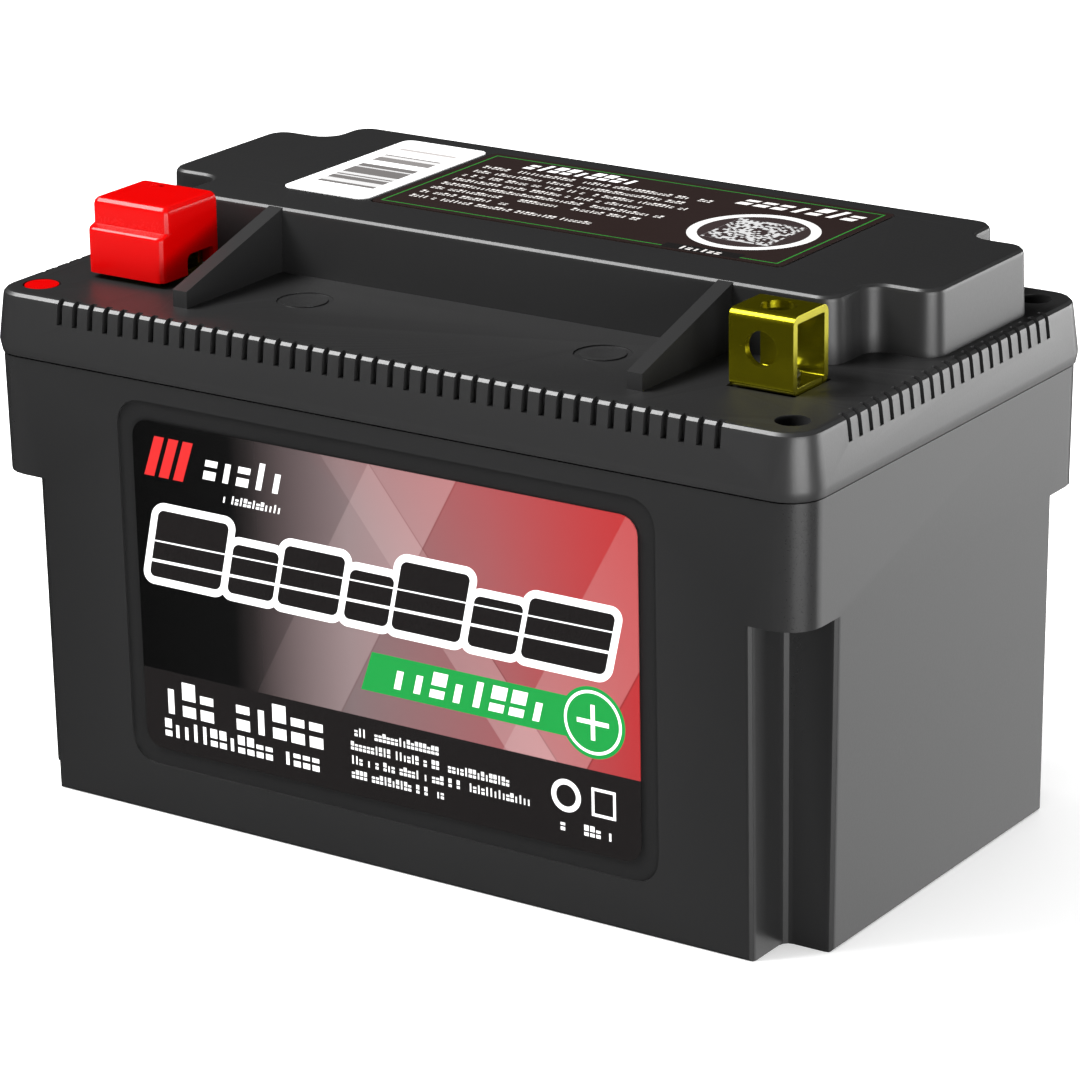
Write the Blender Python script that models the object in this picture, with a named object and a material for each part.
"""Sealed lithium motorcycle battery, built as it comes apart on a bench.

A drafted case with notched lower corners holds eight cylindrical cells in two
holders. A screwed lid closes it: a band with a grooved top edge, a deck that
carries the two terminals, and a raised block over the protection board. A red
cover pulls up off the positive terminal.

Metres, +Z up. The origin is the centre of the base. +X runs along the length,
towards the negative terminal, and -Y is the front.
"""

import math

import bmesh
import bpy
from mathutils import Vector

# ---------------------------------------------------------------- overall
LENGTH = 0.150            # over the lid's lip
WIDTH = 0.087             # over the lid's lip
SEAM_Z = 0.0724           # underside of the lid's skirt
LIP_RISE = 0.0017         # widest line of the lid, above the seam
DECK_RISE = 0.0101        # deck above the seam
BLOCK_RISE = 0.0105       # raised block above the deck
GAP = 0.0003              # clearance between touching pieces

# ---------------------------------------------------------------- case
CASE_WALL = 0.0022
CASE_FLOOR = 0.0022
CASE_STEP = 0.0006        # the case is this much smaller than the lid's lip, each side
CASE_DRAFT = 0.0008       # narrowing of each side towards the base
CORNER_R = 0.006          # vertical corners of the lid's lip
BASE_CHAMFER = 0.0005

NOTCH_X = 0.0089          # corner notch, along the length
NOTCH_Y = 0.0099          # corner notch, along the width
NOTCH_HEIGHT = 0.0527
NOTCH_EDGE_R = 0.0012     # rounding of the notch's outer edges
NOTCH_INNER_R = 0.0016    # fillet in the notch's inner corner

# ---------------------------------------------------------------- lid
LIP_INSET = 0.00035       # the skirt's lower edge is drawn in by this much
LID_DRAFT = 0.0009
LID_WALL = 0.0022
DECK_WALL = 0.0022
DECK_EDGE_R = 0.0012
SKIRT_WALL = 0.00135      # thin lower skirt that laps over the case's tongue

BLOCK_FRONT = -0.0113
BLOCK_BACK = 0.0394
BLOCK_HALF = 0.0608       # half-length of the block's long part
LOBE_HALF = 0.0716        # half-length across the two end lobes
LOBE_FRONT = -0.0005
LOBE_BACK = 0.0302
BLOCK_CONVEX_R = 0.0036
BLOCK_CONCAVE_R = 0.0030
BLOCK_DRAFT = 0.0003
BLOCK_EDGE_R = 0.0010

GUSSET_X = 0.0416
GUSSET_THICK = 0.0027
GUSSET_FRONT = -0.0358
GUSSET_NOSE = 0.0027      # height of the gusset's short front end
GUSSET_SINK = 0.0004      # how far the gusset's foot runs into the deck

GROOVE_PITCH = 0.0030
GROOVE_WIDTH = 0.00105
GROOVE_DROP = 0.0039      # how far a groove runs down the side wall
GROOVE_DEPTH = 0.0010
GROOVE_REACH = 0.0003     # how far a groove runs on to the deck
GROOVE_DECK_DEPTH = 0.0004
GROOVE_CLEAR_X = 0.0145   # plain stretch at each end of the long sides
GROOVE_CLEAR_Y = 0.0130   # plain stretch at each end of the short sides

MARK_X = 0.0275
MARK_Y = -0.0225
MARK_R = 0.0045           # outside of the ring groove
MARK_RING = 0.0009        # width of the ring groove
MARK_DISH_R = 0.0026      # rim of the shallow dish
MARK_DISH_FLOOR_R = 0.0017
MARK_DEPTH = 0.0004

# ---------------------------------------------------------------- rim, gasket and lid screws
TONGUE_WALL = 0.0008
TONGUE_HEIGHT = 0.0030
GASKET_HEIGHT = 0.0010

SCREW_INSET_X = 0.0064    # well centre from the lid's lip
SCREW_INSET_Y = 0.0071
WELL_R = 0.00265
WELL_SHELF = 0.0030       # thickness of the shelf that the screw head bears on
BOSS_R = 0.00365
SCREW_R = 0.0013
SCREW_HEAD_R = 0.0023
SCREW_HEAD_HEIGHT = 0.0019
SCREW_LENGTH = 0.0130     # under the head
PLUG_HEAD_R = 0.00275
PLUG_HEAD_HEIGHT = 0.0007
PLUG_LENGTH = 0.0038

# ---------------------------------------------------------------- terminals
TERMINAL_X = 0.0574
TERMINAL_LENGTH = 0.0109
TERMINAL_FRONT = -0.0266
TERMINAL_DEPTH = 0.0100
TERMINAL_HEIGHT = 0.0120
TERMINAL_SEAT = 0.0006    # depth of the pocket that keeps a terminal from turning
SEAT_ROOM = 0.0004        # between the terminal and the pocket's sides
SHEET = 0.0012
TERMINAL_BEND_R = 0.0014
TERMINAL_HOLE_R = 0.0027
SEAM_SLIT = 0.0004

BOLT_R = 0.0018
BOLT_HEAD_R = 0.0032
BOLT_HEAD_HEIGHT = 0.0010
SEAL_R = 0.0040
SEAL_THICK = 0.0010
BUSBAR_THICK = 0.0011
BUSBAR_WIDTH = 0.0090
NUT_FLATS = 0.0065
NUT_HEIGHT = 0.0014
NUT_TAIL = 0.0006         # bolt standing out of the nut

# ---------------------------------------------------------------- positive terminal cover
COVER_WALL = 0.0011
COVER_ROOF = 0.0008
COVER_SIDE_ROOM = 0.0010  # between the terminal and the cover's side walls
COVER_BACK_ROOM = 0.0011
COVER_STEP = 0.0015       # the lower front stands out by this much
COVER_STEP_DROP = 0.0045  # from the cover's top down to the step
COVER_LIFT = 0.0009       # from the deck up to the cover's lower edge
COVER_EDGE_R = 0.0013
COVER_SLOT_BACK = 0.0017  # wire slot, from the cover's back face
COVER_SLOT_WIDTH = 0.0070
COVER_SLOT_HEIGHT = 0.0033
COVER_PIN_R = 0.0005
COVER_PIN_SHARE = 0.38    # place of the pin hole along the cover, from its outer side

# ---------------------------------------------------------------- cells and holders
CELL_R = 0.0130
CELL_LENGTH = 0.0650
CELL_ROWS = 2
CELL_COLUMNS = 4
CELL_SPACING = 0.0016     # between neighbouring cans
CELL_BUTTON_R = 0.0040
CELL_BUTTON_HEIGHT = 0.0010
CELL_EDGE_R = 0.0012
CELL_GROOVE_DROP = 0.0038
CELL_GROOVE_DEPTH = 0.0007

HOLDER_RIM = 0.0028       # holder plate outside the outermost cans
HOLDER_LIP = 0.0008
HOLDER_COLLAR = 0.0060
HOLDER_EYE_R = 0.0090     # hole in the lip, over the cell's end
LINK_THICK = 0.0004
LINK_HALF = 0.0080        # reach of a link past the cells' centres
PAD_R = 0.0034            # link's weld pads
TAB_WIDTH = 0.0050
BASE_FOAM = 0.0015
INSULATOR_THICK = 0.0004

# ---------------------------------------------------------------- protection board
BOARD_THICK = 0.0016
BOARD_HALF = 0.0480
BOARD_FRONT = -0.0120
BOARD_BACK = 0.0340
POST_R = 0.0018
POST_PIN_R = 0.0011
POST_FRONT_Y = -0.0060
POST_BACK_INSET = 0.0056  # rear posts, in from the holder's back edge
MOSFET_SIZE = (0.0066, 0.0062, 0.0023)
MOSFET_PITCH = 0.0105
CHIP_SIZE = (0.0100, 0.0076, 0.0018)
SHUNT_SIZE = (0.0120, 0.0050, 0.0030)

# ---------------------------------------------------------------- labels
LABEL_THICK = 0.0002
LABEL_RECESS = 0.0004
FRONT_LABEL_HALF = 0.0464
FRONT_LABEL_LOW = 0.0114
FRONT_LABEL_HIGH = 0.0659
FRONT_LABEL_R = 0.0030
FRONT_RECESS_MARGIN = 0.0030
BARCODE_LEFT = -0.0480
BARCODE_RIGHT = -0.0316
TOP_LABEL_RIGHT = 0.0450
TOP_LABELS_FRONT = -0.0006
TOP_LABELS_BACK = 0.0345
TOP_LABEL_R = 0.0008
BARCODE_R = 0.0016

# ---------------------------------------------------------------- fineness
ARC = 5                   # steps in a corner of a large outline
FINE_ARC = 3              # steps in a small fillet
ROUND = 20                # sides of a round piece
SMALL_ROUND = 14          # sides of a small or hidden round piece
OVERCUT = 0.0020          # how far a cutting body stands out of what it cuts
SKIN = 0.00002            # keeps two nearly flush faces from lying in one plane
MIN_R = 0.0001            # smallest corner of an inset outline
SHEET_CORNER_R = 0.0010   # corners of sheets and boards
FOAM_CORNER_R = 0.0015

# ---------------------------------------------------------------- heights worked out upwards
lip_z = SEAM_Z + LIP_RISE
deck_z = SEAM_Z + DECK_RISE
block_top = deck_z + BLOCK_RISE
case_rim = SEAM_Z - GAP
tongue_top = case_rim + TONGUE_HEIGHT
gasket_low = tongue_top + GAP
gasket_high = gasket_low + GASKET_HEIGHT
skirt_shelf = gasket_high + GAP
well_floor = SEAM_Z + WELL_SHELF
deck_under = deck_z - DECK_WALL

foam_low = CASE_FLOOR + GAP
low_link = foam_low + BASE_FOAM + GAP
low_holder = low_link + LINK_THICK + GAP
cell_low = low_holder + HOLDER_LIP + GAP
cell_high = cell_low + CELL_LENGTH
high_holder = cell_high + GAP + HOLDER_LIP
high_link = high_holder + GAP
insulator_low = high_link + LINK_THICK + GAP
foam_high = high_holder - HOLDER_LIP

seal_low = deck_under - GAP - SEAL_THICK
busbar_low = seal_low - GAP - BUSBAR_THICK
nut_low = busbar_low - GAP - NUT_HEIGHT
board_high = busbar_low - GAP
board_low = board_high - BOARD_THICK

# ---------------------------------------------------------------- places worked out across
lip_half = Vector((LENGTH / 2, WIDTH / 2))
skirt_inner = lip_half - Vector((SKIRT_WALL, SKIRT_WALL))
tongue_outer = skirt_inner - Vector((GAP, GAP))
tongue_inner = tongue_outer - Vector((TONGUE_WALL, TONGUE_WALL))
screw_x = LENGTH / 2 - SCREW_INSET_X
screw_y = WIDTH / 2 - SCREW_INSET_Y
terminal_y = TERMINAL_FRONT + TERMINAL_DEPTH / 2
terminal_low = deck_z - TERMINAL_SEAT + GAP
terminal_high = terminal_low + TERMINAL_HEIGHT
cell_pitch = 2 * CELL_R + CELL_SPACING
cells_half_x = (CELL_COLUMNS - 1) / 2 * cell_pitch + CELL_R
cells_half_y = (CELL_ROWS - 1) / 2 * cell_pitch + CELL_R
holder_half = Vector((cells_half_x + HOLDER_RIM, cells_half_y + HOLDER_RIM))
post_x = cell_pitch
post_y = (POST_FRONT_Y, holder_half.y - POST_BACK_INSET)

CORNERS = ((1, 1), (-1, 1), (-1, -1), (1, -1))


# ================================================================ finishes
def finish(name, colour, roughness, metallic=0.0):
    """A Principled BSDF material."""
    material = bpy.data.materials.new(name)
    material.use_nodes = True
    shader = material.node_tree.nodes["Principled BSDF"]
    shader.inputs["Base Color"].default_value = (*colour, 1)
    shader.inputs["Roughness"].default_value = roughness
    shader.inputs["Metallic"].default_value = metallic
    return material


def clear_scene():
    for thing in list(bpy.data.objects):
        bpy.data.objects.remove(thing, do_unlink=True)


clear_scene()

CASE_PLASTIC = finish("case_plastic", (0.032, 0.032, 0.033), 0.45)
LID_PLASTIC = finish("lid_plastic", (0.035, 0.035, 0.036), 0.42)
RED_PLASTIC = finish("red_plastic", (0.75, 0.010, 0.008), 0.35)
TERMINAL_METAL = finish("terminal_metal", (0.42, 0.38, 0.03), 0.22, 1.0)
STEEL = finish("screw_steel", (0.55, 0.55, 0.56), 0.35, 1.0)
COPPER = finish("busbar_copper", (0.72, 0.34, 0.20), 0.35, 1.0)
NICKEL = finish("link_nickel", (0.62, 0.60, 0.56), 0.35, 1.0)
CELL_SLEEVE = finish("cell_sleeve", (0.05, 0.16, 0.45), 0.40)
HOLDER_PLASTIC = finish("holder_plastic", (0.06, 0.06, 0.06), 0.55)
RUBBER = finish("seal_rubber", (0.02, 0.02, 0.02), 0.75)
FOAM = finish("foam", (0.10, 0.10, 0.11), 0.95)
INSULATOR = finish("insulator_paper", (0.55, 0.60, 0.50), 0.85)
BOARD = finish("board_laminate", (0.02, 0.18, 0.06), 0.40)
PACKAGE = finish("component_package", (0.02, 0.02, 0.02), 0.50)
FRONT_PRINT = finish("front_label_print", (0.35, 0.02, 0.02), 0.30)
TOP_PRINT = finish("top_label_print", (0.05, 0.02, 0.02), 0.40)
WHITE_PRINT = finish("barcode_label_print", (0.85, 0.85, 0.85), 0.45)


# ================================================================ outlines
def turned(point, centre, angle):
    """A point turned about a centre, in the plane."""
    x, y = point[0] - centre[0], point[1] - centre[1]
    cosine, sine = math.cos(angle), math.sin(angle)
    return centre[0] + x * cosine - y * sine, centre[1] + x * sine + y * cosine


def rounded(corners, steps=ARC):
    """Points of an anticlockwise outline whose corners (x, y, radius) are filleted."""
    points = []
    for index, (x, y, radius) in enumerate(corners):
        here = Vector((x, y))
        before = (Vector(corners[index - 1][:2]) - here).normalized()
        after = (Vector(corners[(index + 1) % len(corners)][:2]) - here).normalized()
        if radius <= 0:
            points.append((x, y))
            continue
        half_angle = before.angle(after) / 2
        reach = radius / math.tan(half_angle)
        centre = here + (before + after).normalized() * radius / math.sin(half_angle)
        start = here + before * reach
        end = here + after * reach
        sweep = (start - centre).angle_signed(end - centre)
        for step in range(steps + 1):
            points.append(turned(start, centre, -sweep * step / steps))
    return points


def inset_corners(corners, depth):
    """An anticlockwise outline's corners moved inwards by a depth, radii with them."""
    moved = []
    for index, (x, y, radius) in enumerate(corners):
        here = Vector((x, y))
        along_in = (here - Vector(corners[index - 1][:2])).normalized()
        along_out = (Vector(corners[(index + 1) % len(corners)][:2]) - here).normalized()
        normal_in = Vector((-along_in.y, along_in.x))
        normal_out = Vector((-along_out.y, along_out.x))
        bisector = normal_in + normal_out
        place = here + bisector * depth / (1 + normal_in.dot(normal_out))
        convex = along_in.cross(along_out) > 0
        moved.append((place.x, place.y, max(radius - depth if convex else radius + depth, MIN_R)))
    return moved


def rectangle(low, high, radius):
    """Corners of an upright rectangle."""
    (x0, y0), (x1, y1) = low, high
    return [(x0, y0, radius), (x1, y0, radius), (x1, y1, radius), (x0, y1, radius)]


def centred(half, radius):
    """Corners of a rectangle centred on the origin."""
    return rectangle((-half[0], -half[1]), (half[0], half[1]), radius)


def circle(x, y, radius, sides=ROUND):
    """Points of an anticlockwise circle."""
    angles = [2 * math.pi * side / sides for side in range(sides)]
    return [(x + radius * math.cos(a), y + radius * math.sin(a)) for a in angles]


def at_height(points, z):
    return [(x, y, z) for x, y in points]


# ================================================================ solids
def skin(mesh, rings, closed=False):
    """Faces between rings of as many points, with a cap at each end unless closed."""
    rows = [[mesh.verts.new(point) for point in ring] for ring in rings]
    count = len(rows[0])
    pairs = list(zip(rows, rows[1:]))
    if closed:
        pairs.append((rows[-1], rows[0]))
    for low, high in pairs:
        for index in range(count):
            after = (index + 1) % count
            mesh.faces.new((low[index], low[after], high[after], high[index]))
    if not closed:
        mesh.faces.new(list(reversed(rows[0])))
        mesh.faces.new(rows[-1])


def smooth(thing, angle=math.radians(32)):
    """Round stretches shaded smooth, and real edges left sharp."""
    thing.data.shade_smooth()
    thing.data.set_sharp_from_angle(angle=angle)


def solid(name, stacks, material=None, closed=False):
    """One object from stacks of rings, each stack a closed body that runs upwards."""
    mesh = bmesh.new()
    for rings in stacks:
        skin(mesh, rings, closed)
    bmesh.ops.recalc_face_normals(mesh, faces=mesh.faces)
    data = bpy.data.meshes.new(name)
    mesh.to_mesh(data)
    mesh.free()
    thing = bpy.data.objects.new(name, data)
    bpy.context.scene.collection.objects.link(thing)
    if material:
        data.materials.append(material)
    smooth(thing)
    return thing


def cutter(name, stacks, closed=False):
    """A tool body that shapes another, left out of the build."""
    thing = solid(name, stacks, closed=closed)
    thing.hide_render = True
    thing.display_type = "WIRE"
    return thing


def combine(target, tool, operation):
    """A Boolean modifier on the target."""
    modifier = target.modifiers.new(tool.name, "BOOLEAN")
    modifier.object = tool
    modifier.operation = operation
    modifier.solver = "EXACT"


def cut(target, name, stacks, closed=False):
    combine(target, cutter(name, stacks, closed), "DIFFERENCE")


def add(target, name, stacks, closed=False):
    combine(target, cutter(name, stacks, closed), "UNION")


def prism(points, low, high):
    """Rings of an upright prism."""
    return [at_height(points, low), at_height(points, high)]


def drum(x, y, profile, sides=ROUND):
    """Rings of an upright turned piece from (radius, height) pairs, lowest first."""
    return [at_height(circle(x, y, radius, sides), z) for radius, z in profile]


def along_x(points, low, high):
    """Rings of a prism along X from (y, z) points."""
    return [[(x, y, z) for y, z in points] for x in (low, high)]


def along_y(points, low, high):
    """Rings of a prism along Y from (x, z) points."""
    return [[(x, y, z) for x, z in points] for y in (low, high)]


def fillet_rings(corners, draft, radius, high, steps=FINE_ARC):
    """Top rings of a body whose upper edge is rounded, from the start of the rounding up."""
    rings = []
    for step in range(steps + 1):
        angle = math.pi / 2 * step / steps
        depth = draft + radius * (1 - math.cos(angle))
        z = high - radius + radius * math.sin(angle)
        rings.append(at_height(rounded(inset_corners(corners, depth)), z))
    return rings


# ================================================================ case
def case_half(z):
    """Half-length and half-width of the case's outside at a height."""
    lean = CASE_DRAFT * (1 - z / case_rim)
    return lip_half - Vector((CASE_STEP + lean, CASE_STEP + lean))


def case_ring(z, depth=0.0):
    corners = centred(case_half(z), CORNER_R - CASE_STEP)
    return at_height(rounded(inset_corners(corners, depth)), z)


def rim_ring(half, z):
    """A ring on the tongue, its corner centred with the lip's."""
    radius = CORNER_R - (lip_half.x - half.x)
    return at_height(rounded(centred(half, radius)), z)


def notch_ring(z, side_x, side_y):
    """Plan of one corner notch at a height: two walls, a fillet between them, rounded edges."""
    beyond = 2 * OVERCUT
    face_x, face_y = case_half(z) + Vector((SKIN, SKIN))
    wall_x = lip_half.x - CASE_STEP - NOTCH_X
    wall_y = lip_half.y - CASE_STEP - NOTCH_Y
    edge = NOTCH_EDGE_R
    quarter = math.pi / 2 / FINE_ARC
    points = [(face_x + beyond, face_y + beyond), (wall_x - edge, face_y + beyond)]
    for step in range(FINE_ARC + 1):
        angle = math.pi / 2 - quarter * step
        points.append((wall_x - edge + edge * math.cos(angle), face_y - edge + edge * math.sin(angle)))
    for step in range(FINE_ARC + 1):
        angle = math.pi + quarter * step
        centre = (wall_x + NOTCH_INNER_R, wall_y + NOTCH_INNER_R)
        points.append((centre[0] + NOTCH_INNER_R * math.cos(angle),
                       centre[1] + NOTCH_INNER_R * math.sin(angle)))
    for step in range(FINE_ARC + 1):
        angle = math.pi / 2 - quarter * step
        points.append((face_x - edge + edge * math.cos(angle), wall_y - edge + edge * math.sin(angle)))
    points.append((face_x + beyond, wall_y - edge))
    return [(x * side_x, y * side_y, z) for x, y in points]


def on_front(points, depth):
    """(x, z) points laid on the case's leaning front face, a depth under its surface."""
    return [(x, depth - case_half(z).y, z) for x, z in points]


def make_case():
    case = solid("case", [[
        case_ring(0.0, BASE_CHAMFER),
        case_ring(BASE_CHAMFER),
        case_ring(case_rim),
        rim_ring(tongue_outer, case_rim),
        rim_ring(tongue_outer, tongue_top),
    ]], CASE_PLASTIC)
    cut(case, "case_cavity", [[
        case_ring(CASE_FLOOR, CASE_WALL),
        case_ring(case_rim, CASE_WALL),
        rim_ring(tongue_inner, case_rim),
        rim_ring(tongue_inner, tongue_top + CASE_WALL),
    ]])

    inner = lip_half - Vector((CASE_STEP + CASE_WALL, CASE_STEP + CASE_WALL))
    buried = case_half(0.0) - Vector((CASE_WALL / 2, CASE_WALL / 2))
    corner_post = [
        (inner.x - NOTCH_X, inner.y - NOTCH_Y, NOTCH_INNER_R),
        (buried.x, inner.y - NOTCH_Y, MIN_R),
        (buried.x, buried.y, CORNER_R - CASE_STEP - CASE_WALL / 2),
        (inner.x - NOTCH_X, buried.y, MIN_R),
    ]
    posts = []
    for side_x, side_y in CORNERS:
        plan = [(x * side_x, y * side_y) for x, y in rounded(corner_post)]
        posts.append(prism(plan, CASE_FLOOR / 2, NOTCH_HEIGHT + CASE_WALL))
    add(case, "notch_posts", posts)
    add(case, "screw_pillars", [
        drum(screw_x * side_x, screw_y * side_y,
             [(BOSS_R, NOTCH_HEIGHT + CASE_WALL / 2), (BOSS_R, case_rim)], SMALL_ROUND)
        for side_x, side_y in CORNERS
    ])
    cut(case, "notches", [
        [notch_ring(-CASE_FLOOR, side_x, side_y), notch_ring(NOTCH_HEIGHT, side_x, side_y)]
        for side_x, side_y in CORNERS
    ])
    pilot_low = well_floor - SCREW_LENGTH - GAP
    cut(case, "screw_pilots", [
        drum(screw_x * side_x, screw_y * side_y,
             [(SCREW_R + GAP, pilot_low), (SCREW_R + GAP, tongue_top)], SMALL_ROUND)
        for side_x, side_y in CORNERS
    ])
    margin = FRONT_RECESS_MARGIN
    recess = rounded(rectangle(
        (-FRONT_LABEL_HALF - margin, FRONT_LABEL_LOW - margin),
        (FRONT_LABEL_HALF + margin, FRONT_LABEL_HIGH + margin),
        FRONT_LABEL_R + margin / 2,
    ))
    cut(case, "label_recess", [[
        on_front(recess, -CASE_WALL),
        on_front(recess, LABEL_RECESS),
    ]])
    return case


# ================================================================ lid
def block_corners():
    """The raised block's plan: a long part with a lobe at each end."""
    out, back_in = BLOCK_CONVEX_R, BLOCK_CONCAVE_R
    right = [
        (BLOCK_HALF, BLOCK_FRONT, out),
        (BLOCK_HALF, LOBE_FRONT, back_in),
        (LOBE_HALF, LOBE_FRONT, out),
        (LOBE_HALF, LOBE_BACK, out),
        (BLOCK_HALF, LOBE_BACK, back_in),
        (BLOCK_HALF, BLOCK_BACK, out),
    ]
    return right + [(-x, y, radius) for x, y, radius in reversed(right)]


def lip_corners(depth=0.0):
    return inset_corners(centred(lip_half, CORNER_R), depth)


def groove_profile(half, skirt_half):
    """Section of one edge groove: down the wall, over the edge and on to the deck."""
    low = deck_z - GROOVE_DROP
    floor = skirt_half - GROOVE_DEPTH
    edge = half - LID_DRAFT - DECK_EDGE_R
    return [
        (half + OVERCUT, low),
        (half + OVERCUT, deck_z + OVERCUT),
        (edge - GROOVE_REACH, deck_z + OVERCUT),
        (edge - GROOVE_REACH, deck_z - GROOVE_DECK_DEPTH),
        (floor, deck_z - DECK_EDGE_R),
        (floor, low),
    ]


def groove_centres(half, clear):
    """Groove places at an even pitch, centred, within the plain stretches."""
    count = int((half - clear) / GROOVE_PITCH + 0.5)
    return [index * GROOVE_PITCH for index in range(-count, count + 1)]


def edge_grooves():
    """Prisms for the grooves through the lid's four upper edges."""
    stacks = []
    across = GROOVE_WIDTH / 2
    for side in (1, -1):
        section = groove_profile(lip_half.y, lip_half.y - LID_DRAFT)
        for x in groove_centres(lip_half.x, GROOVE_CLEAR_X):
            stacks.append(along_x([(y * side, z) for y, z in section], x - across, x + across))
        section = groove_profile(lip_half.x, lip_half.x - LID_DRAFT)
        for y in groove_centres(lip_half.y, GROOVE_CLEAR_Y):
            stacks.append(along_y([(x * side, z) for x, z in section], y - across, y + across))
    return stacks


def gusset(side):
    """A triangular rib from the block's top edge down to the deck."""
    back = BLOCK_FRONT + BLOCK_EDGE_R + BLOCK_DRAFT
    section = [
        (GUSSET_FRONT, deck_z - GUSSET_SINK),
        (back, deck_z - GUSSET_SINK),
        (back, block_top - SKIN),
        (GUSSET_FRONT, deck_z + GUSSET_NOSE),
    ]
    centre = GUSSET_X * side
    return along_x(section, centre - GUSSET_THICK / 2, centre + GUSSET_THICK / 2)


def mark_dish(side):
    """A shallow conical dish in the deck."""
    return drum(MARK_X * side, MARK_Y, [
        (MARK_DISH_FLOOR_R, deck_z - MARK_DEPTH),
        (MARK_DISH_R, deck_z),
        (MARK_DISH_R, deck_z + OVERCUT),
    ])


def mark_ring(side):
    """The fine ring groove round a dish."""
    low, high = deck_z - MARK_DEPTH / 2, deck_z + MARK_DEPTH
    inside = MARK_R - MARK_RING
    return drum(MARK_X * side, MARK_Y, [(inside, low), (MARK_R, low), (MARK_R, high), (inside, high)])


def terminal_seat(side):
    """The pocket that a terminal stands in."""
    room = Vector((TERMINAL_LENGTH / 2 + SEAT_ROOM, TERMINAL_DEPTH / 2 + SEAT_ROOM))
    centre = Vector((TERMINAL_X * side, terminal_y))
    plan = rounded(rectangle(centre - room, centre + room, SEAT_ROOM), FINE_ARC)
    return prism(plan, deck_z - TERMINAL_SEAT, deck_z + OVERCUT)


def make_lid():
    lid = solid("lid", [[
        at_height(rounded(lip_corners(LIP_INSET)), SEAM_Z),
        at_height(rounded(lip_corners()), lip_z),
        *fillet_rings(lip_corners(), LID_DRAFT, DECK_EDGE_R, deck_z),
    ]], LID_PLASTIC)

    block = block_corners()
    add(lid, "raised_block", [[
        at_height(rounded(block), deck_z - DECK_WALL / 2),
        *fillet_rings(block, BLOCK_DRAFT, BLOCK_EDGE_R, block_top),
    ]])
    add(lid, "gussets", [gusset(1), gusset(-1)])

    upper_half = lip_half - Vector((LID_WALL, LID_WALL)) - Vector((LID_DRAFT, LID_DRAFT)) / 2
    cut(lid, "skirt_cavity", [[
        rim_ring(skirt_inner, SEAM_Z - CASE_WALL),
        rim_ring(skirt_inner, skirt_shelf),
        rim_ring(upper_half, skirt_shelf),
        rim_ring(upper_half, deck_under),
    ]])
    hollow = inset_corners(block, LID_WALL)
    cut(lid, "block_cavity", [[
        at_height(rounded(hollow), deck_under - LID_WALL),
        at_height(rounded(inset_corners(hollow, BLOCK_DRAFT)), block_top - DECK_WALL),
    ]])

    add(lid, "screw_bosses", [
        drum(screw_x * side_x, screw_y * side_y,
             [(BOSS_R, SEAM_Z), (BOSS_R, deck_z - DECK_WALL / 2)], SMALL_ROUND)
        for side_x, side_y in CORNERS
    ])
    cut(lid, "screw_wells", [
        drum(screw_x * side_x, screw_y * side_y, [
            (SCREW_R + GAP, SEAM_Z - CASE_WALL),
            (SCREW_R + GAP, well_floor),
            (WELL_R, well_floor),
            (WELL_R, block_top),
        ])
        for side_x, side_y in CORNERS
    ])
    cut(lid, "plug_seat", [
        drum(-screw_x, -screw_y, [(PLUG_HEAD_R + GAP, deck_z - PLUG_HEAD_HEIGHT - GAP),
                                  (PLUG_HEAD_R + GAP, block_top)])
    ])
    cut(lid, "bolt_holes", [
        drum(TERMINAL_X * side, terminal_y,
             [(BOLT_R + GAP, deck_under - DECK_WALL), (BOLT_R + GAP, block_top)], SMALL_ROUND)
        for side in (1, -1)
    ])
    cut(lid, "edge_grooves", edge_grooves())
    cut(lid, "terminal_seats", [terminal_seat(1), terminal_seat(-1)])
    cut(lid, "mark_dishes", [mark_dish(1), mark_dish(-1)])
    cut(lid, "mark_rings", [mark_ring(1), mark_ring(-1)], closed=True)
    cut(lid, "label_recesses", [
        prism(rounded(inset_corners(corners, -GAP)), block_top - LABEL_RECESS, block_top + LABEL_RECESS)
        for corners in (barcode_corners(), top_label_corners())
    ])
    return lid


# ================================================================ labels
def barcode_corners():
    return rectangle((BARCODE_LEFT, TOP_LABELS_FRONT), (BARCODE_RIGHT, TOP_LABELS_BACK), BARCODE_R)


def top_label_corners():
    left = BARCODE_RIGHT + 4 * GAP
    return rectangle((left, TOP_LABELS_FRONT), (TOP_LABEL_RIGHT, TOP_LABELS_BACK), TOP_LABEL_R)


def make_labels():
    outline = rounded(rectangle((-FRONT_LABEL_HALF, FRONT_LABEL_LOW),
                                (FRONT_LABEL_HALF, FRONT_LABEL_HIGH), FRONT_LABEL_R))
    solid("front_label", [[
        on_front(outline, LABEL_RECESS - GAP - LABEL_THICK),
        on_front(outline, LABEL_RECESS - GAP),
    ]], FRONT_PRINT)
    low = block_top - LABEL_RECESS + GAP
    for name, corners, material in (
        ("barcode_label", barcode_corners(), WHITE_PRINT),
        ("top_label", top_label_corners(), TOP_PRINT),
    ):
        solid(name, [prism(rounded(corners), low, low + LABEL_THICK)], material)


# ================================================================ gasket, screws and plug
def make_gasket():
    rings = [
        rim_ring(tongue_inner, gasket_low),
        rim_ring(tongue_outer, gasket_low),
        rim_ring(tongue_outer, gasket_high),
        rim_ring(tongue_inner, gasket_high),
    ]
    solid("lid_gasket", [rings], RUBBER, closed=True)


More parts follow.
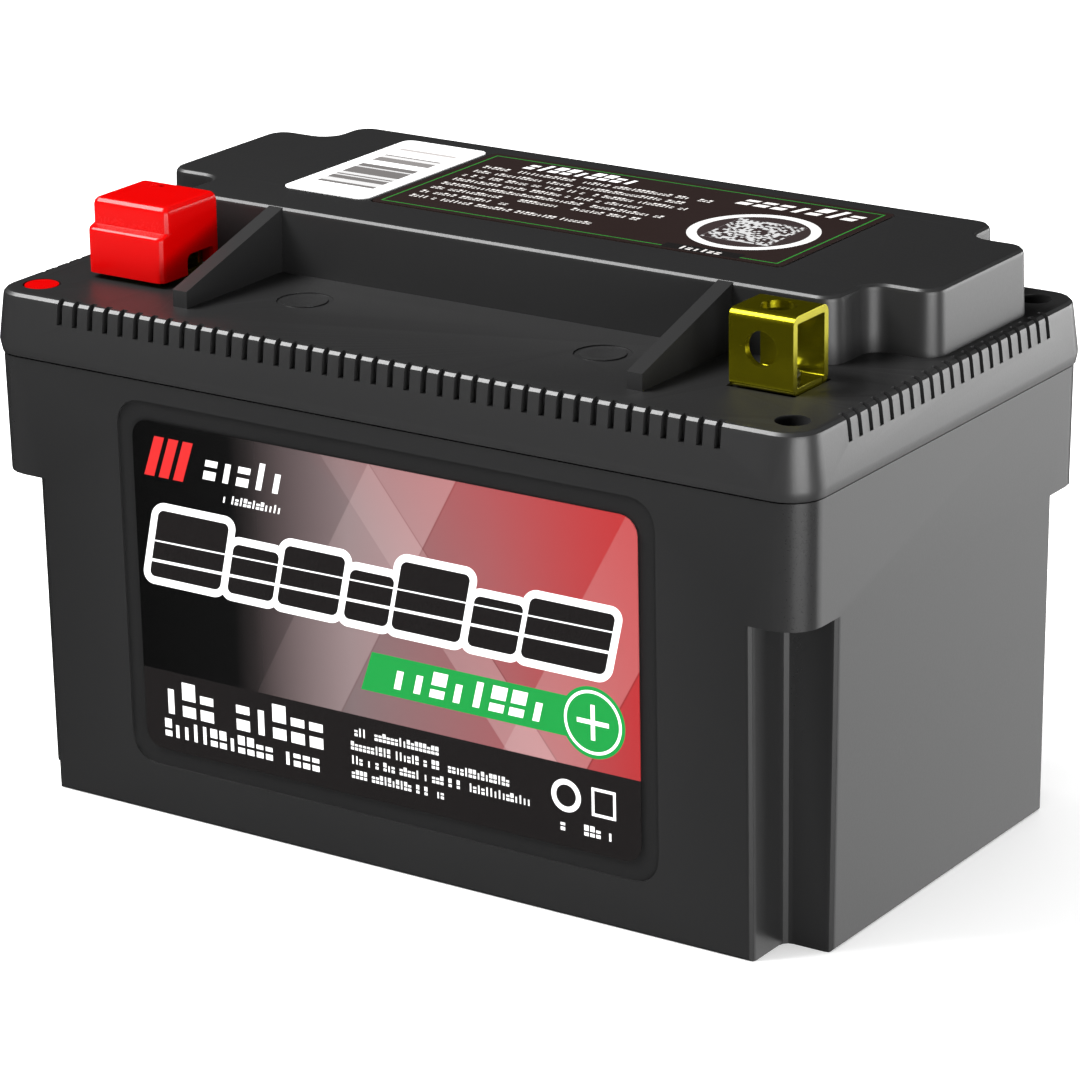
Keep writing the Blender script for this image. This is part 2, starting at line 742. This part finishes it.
def make_lid_screws():
    """Four pan-head screws, deep in the corner wells, and the plug over the front left one."""
    head_low = well_floor + GAP
    profile = [
        (SCREW_R * 0.5, head_low - SCREW_LENGTH),
        (SCREW_R, head_low - SCREW_LENGTH + SCREW_R),
        (SCREW_R, head_low),
        (SCREW_HEAD_R, head_low),
        (SCREW_HEAD_R, head_low + SCREW_HEAD_HEIGHT * 0.5),
        (SCREW_HEAD_R * 0.6, head_low + SCREW_HEAD_HEIGHT),
    ]
    names = ("back_right", "back_left", "front_left", "front_right")
    for name, (side_x, side_y) in zip(names, CORNERS):
        screw = solid("lid_screw_" + name, [drum(0, 0, profile, SMALL_ROUND)], STEEL)
        screw.location = (screw_x * side_x, screw_y * side_y, 0)

    plug = solid("corner_plug", [drum(0, 0, [
        (WELL_R - 2 * GAP, deck_z - PLUG_LENGTH),
        (WELL_R - GAP, deck_z - PLUG_LENGTH + GAP),
        (WELL_R - GAP, deck_z - PLUG_HEAD_HEIGHT),
        (PLUG_HEAD_R, deck_z - PLUG_HEAD_HEIGHT),
        (PLUG_HEAD_R, deck_z),
    ])], RED_PLASTIC)
    plug.location = (-screw_x, -screw_y, 0)


# ================================================================ terminals
def make_terminal(name, side):
    """A box folded from one strip, open at both ends, with a hole in front and one on top."""
    outer = rectangle((TERMINAL_FRONT, terminal_low),
                      (TERMINAL_FRONT + TERMINAL_DEPTH, terminal_high), TERMINAL_BEND_R)
    inner = inset_corners(outer, SHEET)
    centre = TERMINAL_X * side
    ends = (centre - TERMINAL_LENGTH / 2, centre + TERMINAL_LENGTH / 2)
    rings = [
        [(ends[0], y, z) for y, z in rounded(outer)],
        [(ends[1], y, z) for y, z in rounded(outer)],
        [(ends[1], y, z) for y, z in rounded(inner)],
        [(ends[0], y, z) for y, z in rounded(inner)],
    ]
    terminal = solid(name, [rings], TERMINAL_METAL, closed=True)
    middle = (terminal_low + terminal_high) / 2
    front_hole = [[(centre + x, y, middle + SHEET / 2 + z) for x, z in circle(0, 0, TERMINAL_HOLE_R)]
                  for y in (TERMINAL_FRONT - SHEET, TERMINAL_FRONT + 2 * SHEET)]
    cut(terminal, name + "_front_hole", [front_hole])
    cut(terminal, name + "_top_hole", [
        drum(centre, terminal_y, [(TERMINAL_HOLE_R, terminal_high - 2 * SHEET),
                                  (TERMINAL_HOLE_R, terminal_high + SHEET)])
    ])
    cut(terminal, name + "_bolt_hole", [
        drum(centre, terminal_y, [(BOLT_R + GAP, terminal_low - SHEET),
                                  (BOLT_R + GAP, terminal_low + 2 * SHEET)], SMALL_ROUND)
    ])
    slit = TERMINAL_FRONT + TERMINAL_DEPTH - TERMINAL_BEND_R - SEAM_SLIT
    cut(terminal, name + "_seam", [along_x(
        [(slit, terminal_low - SHEET), (slit + SEAM_SLIT, terminal_low - SHEET),
         (slit + SEAM_SLIT, terminal_low + 1.5 * SHEET), (slit, terminal_low + 1.5 * SHEET)],
        ends[0] - SHEET, ends[1] + SHEET)])


def make_terminal_fastening(name, side):
    """The riveted bolt through the deck, its seal and its nut."""
    head_low = terminal_low + SHEET + GAP
    bolt = solid("terminal_bolt_" + name, [drum(0, 0, [
        (BOLT_R, nut_low - NUT_TAIL),
        (BOLT_R, head_low),
        (BOLT_HEAD_R, head_low),
        (BOLT_HEAD_R, head_low + BOLT_HEAD_HEIGHT * 0.4),
        (BOLT_HEAD_R * 0.6, head_low + BOLT_HEAD_HEIGHT),
    ], SMALL_ROUND)], STEEL)
    bore = circle(0, 0, BOLT_R + GAP, SMALL_ROUND)
    rim = circle(0, 0, SEAL_R, SMALL_ROUND)
    seal = solid("terminal_seal_" + name, [[
        at_height(bore, seal_low), at_height(rim, seal_low),
        at_height(rim, seal_low + SEAL_THICK), at_height(bore, seal_low + SEAL_THICK),
    ]], RUBBER, closed=True)
    across = NUT_FLATS / 2 / math.cos(math.pi / 6)
    nut = solid("terminal_nut_" + name, [
        prism(circle(0, 0, across, 6), nut_low, nut_low + NUT_HEIGHT)
    ], STEEL)
    nut_bore = drum(TERMINAL_X * side, terminal_y,
                    [(BOLT_R + GAP, nut_low - NUT_HEIGHT), (BOLT_R + GAP, nut_low + 2 * NUT_HEIGHT)],
                    SMALL_ROUND)
    cut(nut, "terminal_nut_bore_" + name, [nut_bore])
    for piece in (bolt, seal, nut):
        piece.location = (TERMINAL_X * side, terminal_y, 0)


def make_busbars():
    """Copper straps from the cell group and from the board out to the two bolts."""
    low_y = terminal_y - BUSBAR_WIDTH / 2
    high_y = terminal_y + BUSBAR_WIDTH / 2
    outer = TERMINAL_X + BUSBAR_WIDTH / 2
    foot_low = high_link + LINK_THICK + GAP
    riser = BOARD_HALF + GAP
    foot_end = (CELL_COLUMNS - 1) / 2 * cell_pitch - LINK_HALF / 2
    top = busbar_low + BUSBAR_THICK
    strap = [
        (-outer, busbar_low),
        (-riser - BUSBAR_THICK, busbar_low),
        (-riser - BUSBAR_THICK, foot_low),
        (-foot_end, foot_low),
        (-foot_end, foot_low + BUSBAR_THICK),
        (-riser, foot_low + BUSBAR_THICK),
        (-riser, top),
        (-outer, top),
    ]
    positive = solid("positive_busbar", [along_y(strap, low_y, high_y)], COPPER)
    strap = [(BOARD_HALF - BUSBAR_WIDTH, busbar_low), (outer, busbar_low),
             (outer, top), (BOARD_HALF - BUSBAR_WIDTH, top)]
    negative = solid("negative_busbar", [along_y(strap, low_y, high_y)], COPPER)
    for bar, side in ((positive, -1), (negative, 1)):
        cut(bar, bar.name + "_hole", [
            drum(TERMINAL_X * side, terminal_y,
                 [(BOLT_R + GAP, busbar_low - SHEET), (BOLT_R + GAP, top + SHEET)], SMALL_ROUND)
        ])


# ================================================================ positive terminal cover
def make_cover():
    """A red cap with a stepped front that drops over the positive terminal."""
    wall = COVER_WALL
    side = TERMINAL_LENGTH / 2 + COVER_SIDE_ROOM + wall
    left, right = -TERMINAL_X - side, -TERMINAL_X + side
    back = TERMINAL_FRONT + TERMINAL_DEPTH + COVER_BACK_ROOM + wall
    upper_front = TERMINAL_FRONT - GAP - wall
    lower_front = upper_front - COVER_STEP
    low = deck_z + COVER_LIFT
    high = terminal_high + GAP + COVER_ROOF
    step = high - COVER_STEP_DROP

    def ring(z, front, depth=0.0):
        corners = rectangle((left, front), (right, back), COVER_EDGE_R)
        return at_height(rounded(inset_corners(corners, depth), FINE_ARC), z)

    def inner_ring(z, front):
        corners = rectangle((left + wall, front + wall), (right - wall, back - wall), COVER_EDGE_R / 3)
        return at_height(rounded(corners, FINE_ARC), z)

    soft = COVER_EDGE_R * 0.6
    rings = [ring(low, lower_front)]
    for count in range(FINE_ARC + 1):
        angle = math.pi / 2 * count / FINE_ARC
        rings.append(ring(step - soft + soft * math.sin(angle),
                          lower_front + soft * (1 - math.cos(angle))))
    rings.append(ring(step + soft / 3, upper_front))
    for count in range(FINE_ARC + 1):
        angle = math.pi / 2 * count / FINE_ARC
        rings.append(ring(high - COVER_EDGE_R + COVER_EDGE_R * math.sin(angle), upper_front,
                          COVER_EDGE_R * (1 - math.cos(angle))))
    cover = solid("positive_terminal_cover", [rings], RED_PLASTIC)
    cut(cover, "cover_cavity", [[
        inner_ring(low - wall, lower_front),
        inner_ring(step - wall, lower_front),
        inner_ring(step - wall / 2, upper_front),
        inner_ring(high - COVER_ROOF, upper_front),
    ]])
    slot_back = back - COVER_SLOT_BACK
    slot = rounded(rectangle((slot_back - COVER_SLOT_WIDTH, low - wall),
                             (slot_back, low + COVER_SLOT_HEIGHT), wall), FINE_ARC)
    cut(cover, "cover_wire_slot", [along_x(slot, right - 2 * wall, right + wall)])
    cut(cover, "cover_pin_hole", [
        drum(left + (right - left) * COVER_PIN_SHARE, back - 2 * COVER_EDGE_R,
             [(COVER_PIN_R, high - 2 * wall), (COVER_PIN_R, high + wall)], 12)
    ])


# ================================================================ cells, holders and links
def cell_places():
    """(column, row, x, y) of each cell's centre."""
    for column in range(CELL_COLUMNS):
        for row in range(CELL_ROWS):
            yield (column, row, (column - (CELL_COLUMNS - 1) / 2) * cell_pitch,
                   (row - (CELL_ROWS - 1) / 2) * cell_pitch)


def make_cells():
    """Sleeved cans with a rolled groove under the button; every other pair stands on its head."""
    neck = CELL_LENGTH - CELL_BUTTON_HEIGHT
    groove = neck - CELL_GROOVE_DROP
    profile = [
        (CELL_R - CELL_EDGE_R, 0),
        (CELL_R, CELL_EDGE_R),
        (CELL_R, groove - CELL_GROOVE_DEPTH),
        (CELL_R - CELL_GROOVE_DEPTH, groove),
        (CELL_R, groove + CELL_GROOVE_DEPTH),
        (CELL_R, neck - CELL_GROOVE_DEPTH),
        (CELL_R - CELL_GROOVE_DEPTH, neck),
        (CELL_BUTTON_R, neck),
        (CELL_BUTTON_R, CELL_LENGTH),
    ]
    profile = [(radius, z - CELL_LENGTH / 2) for radius, z in profile]
    for column, row, x, y in cell_places():
        cell = solid(f"cell_{column + 1}_{'front' if row == 0 else 'back'}",
                     [drum(0, 0, profile, SMALL_ROUND)], CELL_SLEEVE)
        cell.location = (x, y, (cell_low + cell_high) / 2)
        if column % 2:
            cell.rotation_euler = (math.pi, 0, 0)


def make_holder(name, low, upwards):
    """A tray with a collar and an eye for every cell, facing up or down."""
    def level(rise):
        return low + rise if upwards else low - rise

    def ordered(profile):
        return profile if upwards else list(reversed(profile))

    outline = rounded(centred(holder_half, HOLDER_RIM))
    faces = sorted((level(0), level(HOLDER_LIP + HOLDER_COLLAR)))
    holder = solid(name, [prism(outline, *faces)], HOLDER_PLASTIC)
    bores = []
    for _, _, x, y in cell_places():
        bores.append(drum(x, y, ordered([
            (HOLDER_EYE_R, level(-HOLDER_LIP)),
            (HOLDER_EYE_R, level(HOLDER_LIP)),
            (CELL_R + GAP, level(HOLDER_LIP)),
            (CELL_R + GAP, level(2 * HOLDER_COLLAR)),
        ]), SMALL_ROUND))
    cut(holder, name + "_bores", bores)
    return holder


def make_board_posts(holder):
    """Stepped posts on the upper holder; the board drops over their pins."""
    posts = []
    for x in (-post_x, post_x):
        for y in post_y:
            posts.append(drum(x, y, [
                (POST_R, high_holder - HOLDER_LIP / 2),
                (POST_R, board_low - GAP),
                (POST_PIN_R, board_low - GAP),
                (POST_PIN_R, board_high + GAP),
            ], SMALL_ROUND))
    add(holder, "board_posts", posts)


def make_link(name, columns, low, pads_up, tab_side):
    """A nickel sheet over the ends of some cells, with weld pads and a sense tab."""
    places = [(x, y) for column, _, x, y in cell_places() if column in columns]
    reach = LINK_HALF
    half_y = max(y for _, y in places) + reach
    corners = rectangle((min(x for x, _ in places) - reach, -half_y),
                        (max(x for x, _ in places) + reach, half_y), reach / 4)
    high = low + LINK_THICK
    link = solid(name, [prism(rounded(corners, FINE_ARC), low, high)], NICKEL)
    end = cell_low - GAP if pads_up else cell_high + GAP
    pads = []
    for x, y in places:
        span = (low + LINK_THICK / 2, end) if pads_up else (end, high - LINK_THICK / 2)
        pads.append(drum(x, y, [(PAD_R, span[0]), (PAD_R, span[1])], SMALL_ROUND))
    add(link, name + "_pads", pads)

    centre = sum(x for x, _ in places) / len(places)
    out = holder_half.y + GAP
    edge = half_y - LINK_THICK
    tab = [(edge, low), (out + LINK_THICK, low), (out + LINK_THICK, board_low - GAP),
           (out, board_low - GAP), (out, high), (edge, high)]
    tab = [(y * tab_side, z) for y, z in tab]
    add(link, name + "_tab", [along_x(tab, centre - TAB_WIDTH / 2, centre + TAB_WIDTH / 2)])


def make_links():
    last = CELL_COLUMNS - 1
    make_link("cell_link_positive", (0,), high_link, False, 1)
    make_link("cell_link_middle", (1, 2), high_link, False, 1)
    make_link("cell_link_negative", (last,), high_link, False, 1)
    make_link("cell_link_lower_left", (0, 1), low_link, True, 1)
    make_link("cell_link_lower_right", (2, last), low_link, True, 1)


# ================================================================ insulator and foam pads
def make_insulator():
    """A sheet over the upper links, cut back where the positive strap lands."""
    half = holder_half
    clear_x = BOARD_HALF - BUSBAR_WIDTH - (BOARD_HALF - post_x) / 2
    clear_y = terminal_y + BUSBAR_WIDTH / 2 + CELL_SPACING
    edge = SHEET_CORNER_R
    corners = [
        (-clear_x, -half.y, edge),
        (half.x, -half.y, edge),
        (half.x, half.y, edge),
        (-half.x, half.y, edge),
        (-half.x, clear_y, edge),
        (-clear_x, clear_y, edge),
    ]
    sheet = solid("insulator_sheet", [
        prism(rounded(corners, FINE_ARC), insulator_low, insulator_low + INSULATOR_THICK)
    ], INSULATOR)
    cut(sheet, "insulator_holes", [
        drum(x, y, [(POST_R + GAP, insulator_low - INSULATOR_THICK),
                    (POST_R + GAP, insulator_low + 2 * INSULATOR_THICK)], SMALL_ROUND)
        for x in (-post_x, post_x) for y in post_y
    ])


def make_foam():
    """Pads that lock the cell block in the case."""
    inner = case_half(CASE_FLOOR) - Vector((CASE_WALL + GAP, CASE_WALL + GAP))
    post_inner = lip_half - Vector((CASE_STEP + CASE_WALL + NOTCH_X, CASE_STEP + CASE_WALL + NOTCH_Y))
    edge = FOAM_CORNER_R
    pads = {
        "foam_pad_base": ((-cells_half_x, -cells_half_y), (cells_half_x, cells_half_y),
                          foam_low, foam_low + BASE_FOAM),
        "foam_pad_left": ((-inner.x, -post_inner.y + edge), (-holder_half.x - GAP, post_inner.y - edge),
                          foam_low, foam_high),
        "foam_pad_right": ((holder_half.x + GAP, -post_inner.y + edge), (inner.x, post_inner.y - edge),
                           foam_low, foam_high),
        "foam_pad_front": ((-cells_half_x, -inner.y), (cells_half_x, -holder_half.y - GAP),
                           foam_low, foam_high),
        "foam_pad_back": ((-cells_half_x, holder_half.y + 3 * GAP + LINK_THICK), (cells_half_x, inner.y),
                          foam_low, foam_high),
    }
    for name, (low, high, bottom, top) in pads.items():
        solid(name, [prism(rounded(rectangle(low, high, edge), FINE_ARC), bottom, top)], FOAM)


# ================================================================ protection board
def make_board():
    """The board with its ear under the negative strap, and the parts soldered on it."""
    ear_left = BOARD_HALF - BUSBAR_WIDTH - 4 * GAP
    ear_front = terminal_y - BUSBAR_WIDTH / 2
    edge = SHEET_CORNER_R
    corners = [
        (-BOARD_HALF, BOARD_FRONT, edge),
        (ear_left, BOARD_FRONT, edge),
        (ear_left, ear_front, edge),
        (BOARD_HALF, ear_front, edge),
        (BOARD_HALF, BOARD_BACK, edge),
        (-BOARD_HALF, BOARD_BACK, edge),
    ]
    board = solid("protection_board", [prism(rounded(corners, FINE_ARC), board_low, board_high)], BOARD)
    cut(board, "board_holes", [
        drum(x, y, [(POST_PIN_R + GAP, board_low - BOARD_THICK),
                    (POST_PIN_R + GAP, board_high + BOARD_THICK)], SMALL_ROUND)
        for x in (-post_x, post_x) for y in post_y
    ])

    def component(name, x, y, size, material):
        """A moulded package with chamfered upper edges."""
        width, depth, height = size
        low = board_high + GAP
        plan = rectangle((x - width / 2, y - depth / 2), (x + width / 2, y + depth / 2), height / 6)
        solid(name, [[
            at_height(rounded(plan, 2), low),
            at_height(rounded(plan, 2), low + height * 0.7),
            at_height(rounded(inset_corners(plan, height / 8), 2), low + height),
        ]], material)

    middle = (post_y[0] + post_y[1]) / 2
    for index in range(4):
        component(f"board_transistor_{index + 1}", (index - 1.5) * MOSFET_PITCH, middle - CHIP_SIZE[1],
                  MOSFET_SIZE, PACKAGE)
    component("board_control_chip", 0, middle + CHIP_SIZE[1], CHIP_SIZE, PACKAGE)
    component("board_shunt", post_x + SHUNT_SIZE[0] / 2, middle, SHUNT_SIZE, COPPER)


# ================================================================ build
make_case()
make_lid()
make_labels()
make_gasket()
make_lid_screws()
make_terminal("positive_terminal", -1)
make_terminal("negative_terminal", 1)
make_terminal_fastening("positive", -1)
make_terminal_fastening("negative", 1)
make_busbars()
make_cover()
make_cells()
make_holder("lower_cell_holder", low_holder, True)
make_board_posts(make_holder("upper_cell_holder", high_holder, False))
make_links()
make_insulator()
make_foam()
make_board()
